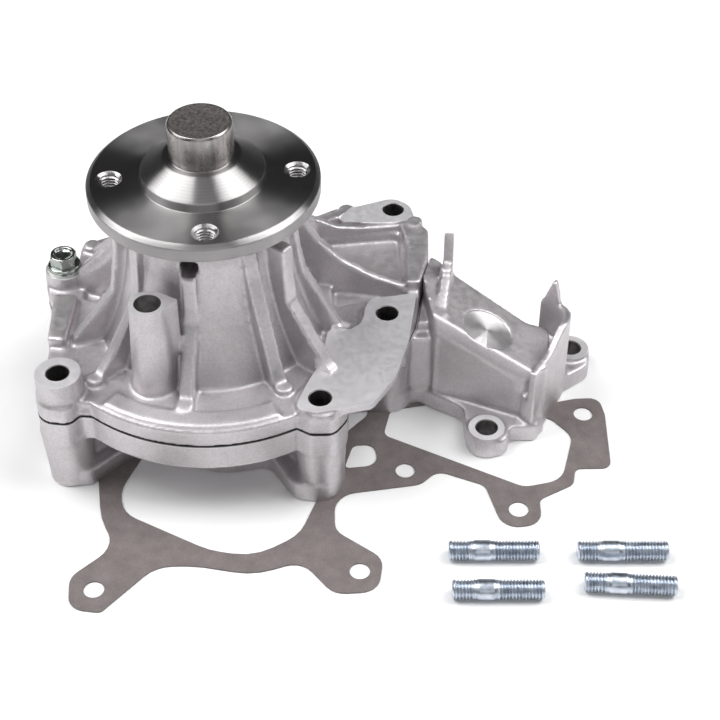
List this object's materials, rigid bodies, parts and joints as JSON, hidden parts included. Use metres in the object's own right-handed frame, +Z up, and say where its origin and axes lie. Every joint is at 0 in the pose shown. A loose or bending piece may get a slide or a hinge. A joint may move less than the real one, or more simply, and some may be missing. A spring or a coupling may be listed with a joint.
{
  "type": "water pump",
  "caption": "Engine coolant pump: ribbed two-piece die-cast housing with an outlet elbow, a turned fan flange on its shaft, and its loose mounting gasket and studs.",
  "frame": {"origin": "on the shaft axis at the engine mounting face, the face that the gasket seals", "axes": "+Z up the shaft towards the fan flange, +X towards the outlet elbow, +Y away from the laid-out gasket"},
  "size_m": [0.2554, 0.1953, 0.1404],
  "materials": {
    "cast_alloy": "as die-cast, satin",
    "turned_steel": "turned and polished",
    "bearing_steel": "ground",
    "brass_cage": "machined",
    "pressed_brass": "pressed",
    "seal_rubber": "matt",
    "sealant": "satin",
    "carbon": "lapped",
    "ceramic_seat": "lapped",
    "cast_iron": "as cast",
    "zinc_bolt": "yellow-green zinc plate",
    "zinc_stud": "blue-white zinc plate",
    "gasket_sheet": "matt fibre sheet"
  },
  "bodies": {
    "housing": {"cover": "cast_alloy", "body": "cast_alloy", "joint_seal": "sealant", "bearing_outer_ring": "bearing_steel", "bearing_seal_front": "seal_rubber", "bearing_seal_rear": "seal_rubber", "face_seal_case": "pressed_brass", "face_seal_spring": "bearing_steel", "face_seal_bellows": "seal_rubber", "carbon_ring": "carbon", "joint_bolts": "zinc_bolt", "joint_washers": "zinc_bolt"},
    "rotor": {"fan_flange": "turned_steel", "shaft": "turned_steel", "impeller": "cast_iron", "seat_ring": "ceramic_seat"},
    "ball_train": {"bearing_balls": "bearing_steel", "ball_cage": "brass_cage"},
    "roller_train": {"bearing_rollers": "bearing_steel", "roller_cage": "brass_cage"},
    "gasket": {"mounting_gasket": "gasket_sheet"},
    "loose_stud_1": {"stud_1": "zinc_stud"},
    "loose_stud_2": {"stud_2": "zinc_stud"},
    "loose_stud_3": {"stud_3": "zinc_stud"},
    "loose_stud_4": {"stud_4": "zinc_stud"}
  },
  "joints": [
    {"name": "rotor_spin", "type": "hinge", "parent": "housing", "child": "rotor", "pos_m": [0, 0, 0.08], "axis": [0, 0, 1], "continuous": true},
    {"name": "ball_train_spin", "type": "hinge", "parent": "housing", "child": "ball_train", "pos_m": [0, 0, 0.081], "axis": [0, 0, 1], "continuous": true},
    {"name": "roller_train_spin", "type": "hinge", "parent": "housing", "child": "roller_train", "pos_m": [0, 0, 0.063], "axis": [0, 0, 1], "continuous": true},
    {"name": "gasket_out", "type": "slide", "parent": "housing", "child": "gasket", "axis": [-1, 0, 0], "range_m": [0, 0.25]},
    {"name": "stud_1_lift", "type": "slide", "parent": "housing", "child": "loose_stud_1", "axis": [0, 0, 1], "range_m": [0, 0.06]},
    {"name": "stud_2_lift", "type": "slide", "parent": "housing", "child": "loose_stud_2", "axis": [0, 0, 1], "range_m": [0, 0.06]},
    {"name": "stud_3_lift", "type": "slide", "parent": "housing", "child": "loose_stud_3", "axis": [0, 0, 1], "range_m": [0, 0.06]},
    {"name": "stud_4_lift", "type": "slide", "parent": "housing", "child": "loose_stud_4", "axis": [0, 0, 1], "range_m": [0, 0.06]}
  ],
  "couplings": [
    {"joint": "ball_train_spin", "follows": "rotor_spin", "ratio": 0.3646},
    {"joint": "roller_train_spin", "follows": "rotor_spin", "ratio": 0.3892}
  ]
}
